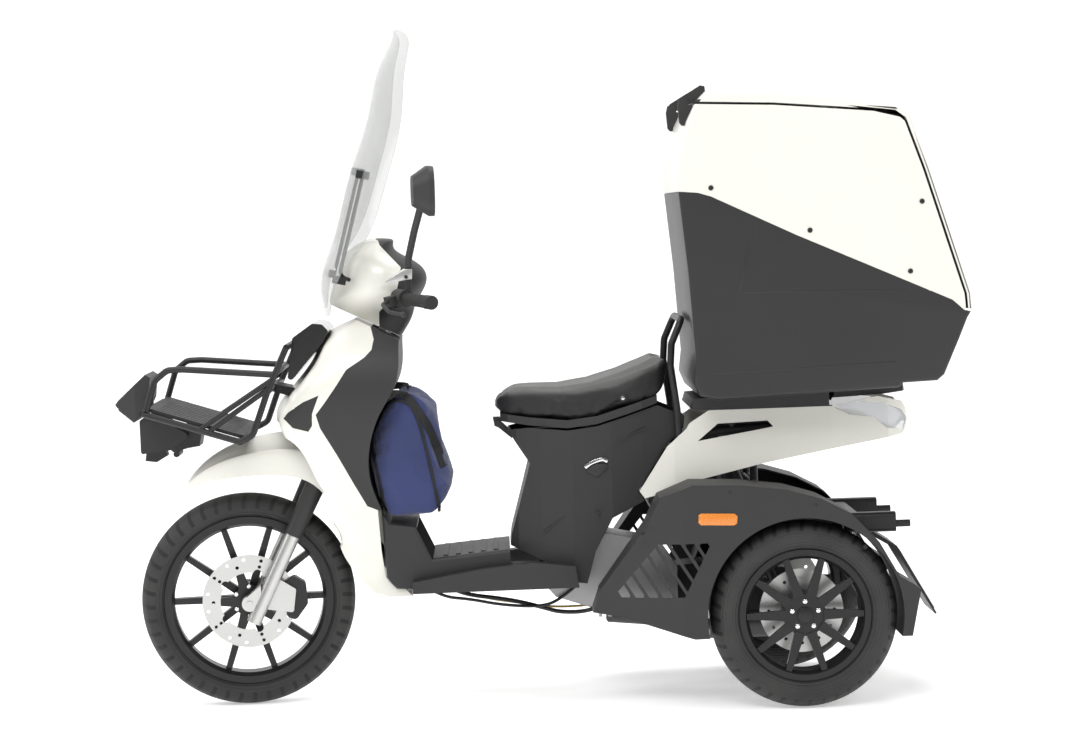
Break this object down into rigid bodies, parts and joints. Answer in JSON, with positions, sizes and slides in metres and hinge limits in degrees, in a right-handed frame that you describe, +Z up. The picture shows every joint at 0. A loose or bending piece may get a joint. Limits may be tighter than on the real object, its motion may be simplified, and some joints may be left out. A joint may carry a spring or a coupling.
{
  "type": "cargo scooter with two rear wheels",
  "caption": "Three-wheeled cargo scooter with a large hinged load box behind the seat, a tall clear windscreen and a front rack.",
  "frame": {"origin": "on the floor below the middle of the whole vehicle", "axes": "+X forward, +Y to the rider's left, +Z up"},
  "size_m": [2.1638, 0.772, 1.7279],
  "materials": {
    "tyre": "matt rubber with road tread",
    "black_alloy": "satin black cast alloy",
    "disc_steel": "ground steel",
    "fork_silver": "silver painted slider",
    "black_plastic": "grained black plastic",
    "gloss_black": "gloss black plastic",
    "black_metal": "black powder coat",
    "calliper_black": "black cast",
    "grip_rubber": "ribbed rubber",
    "white_panel": "gloss warm white",
    "box_black": "satin moulded plastic",
    "clear_screen": "clear acrylic",
    "clear_lens": "clear lens",
    "cast_alloy": "dull cast casing",
    "exhaust_steel": "heat-dulled steel",
    "deck_board": "ribbed dark board",
    "bag_cloth": "navy woven cloth",
    "seat_cover": "grained black seat cover"
  },
  "bodies": {
    "chassis": {"leg_shield": "white_panel", "shield_inserts": "black_plastic", "knee_panel": "black_plastic", "footboard": "black_plastic", "frame": "black_metal", "underseat_body": "black_plastic", "tail_fairing": "white_panel", "tail_lamps": "clear_lens", "box_tray": "black_plastic", "grab_rail": "black_metal", "box_tub": "box_black", "box_shell": "white_panel", "lid_hinges": "black_plastic", "rear_wing_left": "black_plastic", "rear_wing_right": "black_plastic", "rear_suspension": "black_metal", "power_unit": "cast_alloy", "exhaust": "exhaust_steel", "rear_bar": "black_metal", "front_rack": "black_metal", "rack_deck": "deck_board", "front_lamp": "black_plastic", "front_lens": "clear_lens", "rack_case": "black_plastic", "rack_pad": "gloss_black", "storage_bag": "bag_cloth"},
    "steering": {"fork": "fork_silver", "fork_shrouds": "black_plastic", "front_mudguard": "white_panel", "front_calliper": "calliper_black", "handlebar": "black_metal", "grips": "grip_rubber", "hand_controls": "black_plastic", "handlebar_cowl": "white_panel", "instrument_cover": "black_plastic", "windscreen": "clear_screen", "screen_stays": "black_metal", "left_mirror": "black_plastic"},
    "front_wheel": {"front_tyre": "tyre", "front_rim": "black_alloy", "front_disc": "disc_steel"},
    "rear_left_wheel": {"rear_left_tyre": "tyre", "rear_left_rim": "black_alloy", "rear_left_disc": "disc_steel"},
    "rear_right_wheel": {"rear_right_tyre": "tyre", "rear_right_rim": "black_alloy", "rear_right_disc": "disc_steel"},
    "seat": {"seat_cushion": "seat_cover", "seat_pan": "black_plastic"},
    "box_lid": {"box_lid": "white_panel", "lid_leaves": "black_plastic"}
  },
  "joints": [
    {"name": "steering", "type": "hinge", "parent": "chassis", "child": "steering", "pos_m": [0.855, 0, 0], "axis": [-0.4384, 0, 0.8988], "range_deg": [-44, 32]},
    {"name": "front_wheel", "type": "hinge", "parent": "steering", "child": "front_wheel", "pos_m": [0.76281, 0.00396, 0.27491], "axis": [-0.0939, 0.9945, -0.0458], "continuous": true},
    {"name": "rear_left_wheel", "type": "hinge", "parent": "chassis", "child": "rear_left_wheel", "pos_m": [-0.64, 0.32, 0.233], "axis": [0, 1, 0], "continuous": true},
    {"name": "rear_right_wheel", "type": "hinge", "parent": "chassis", "child": "rear_right_wheel", "pos_m": [-0.64, -0.32, 0.233], "axis": [0, 1, 0], "continuous": true},
    {"name": "seat_hinge", "type": "hinge", "parent": "chassis", "child": "seat", "pos_m": [0.104, 0, 0.706], "axis": [0, 1, 0], "range_deg": [0, 60]},
    {"name": "lid_hinge", "type": "hinge", "parent": "chassis", "child": "box_lid", "pos_m": [-0.382, 0, 1.512], "axis": [0, 1, 0], "range_deg": [0, 80]}
  ]
}
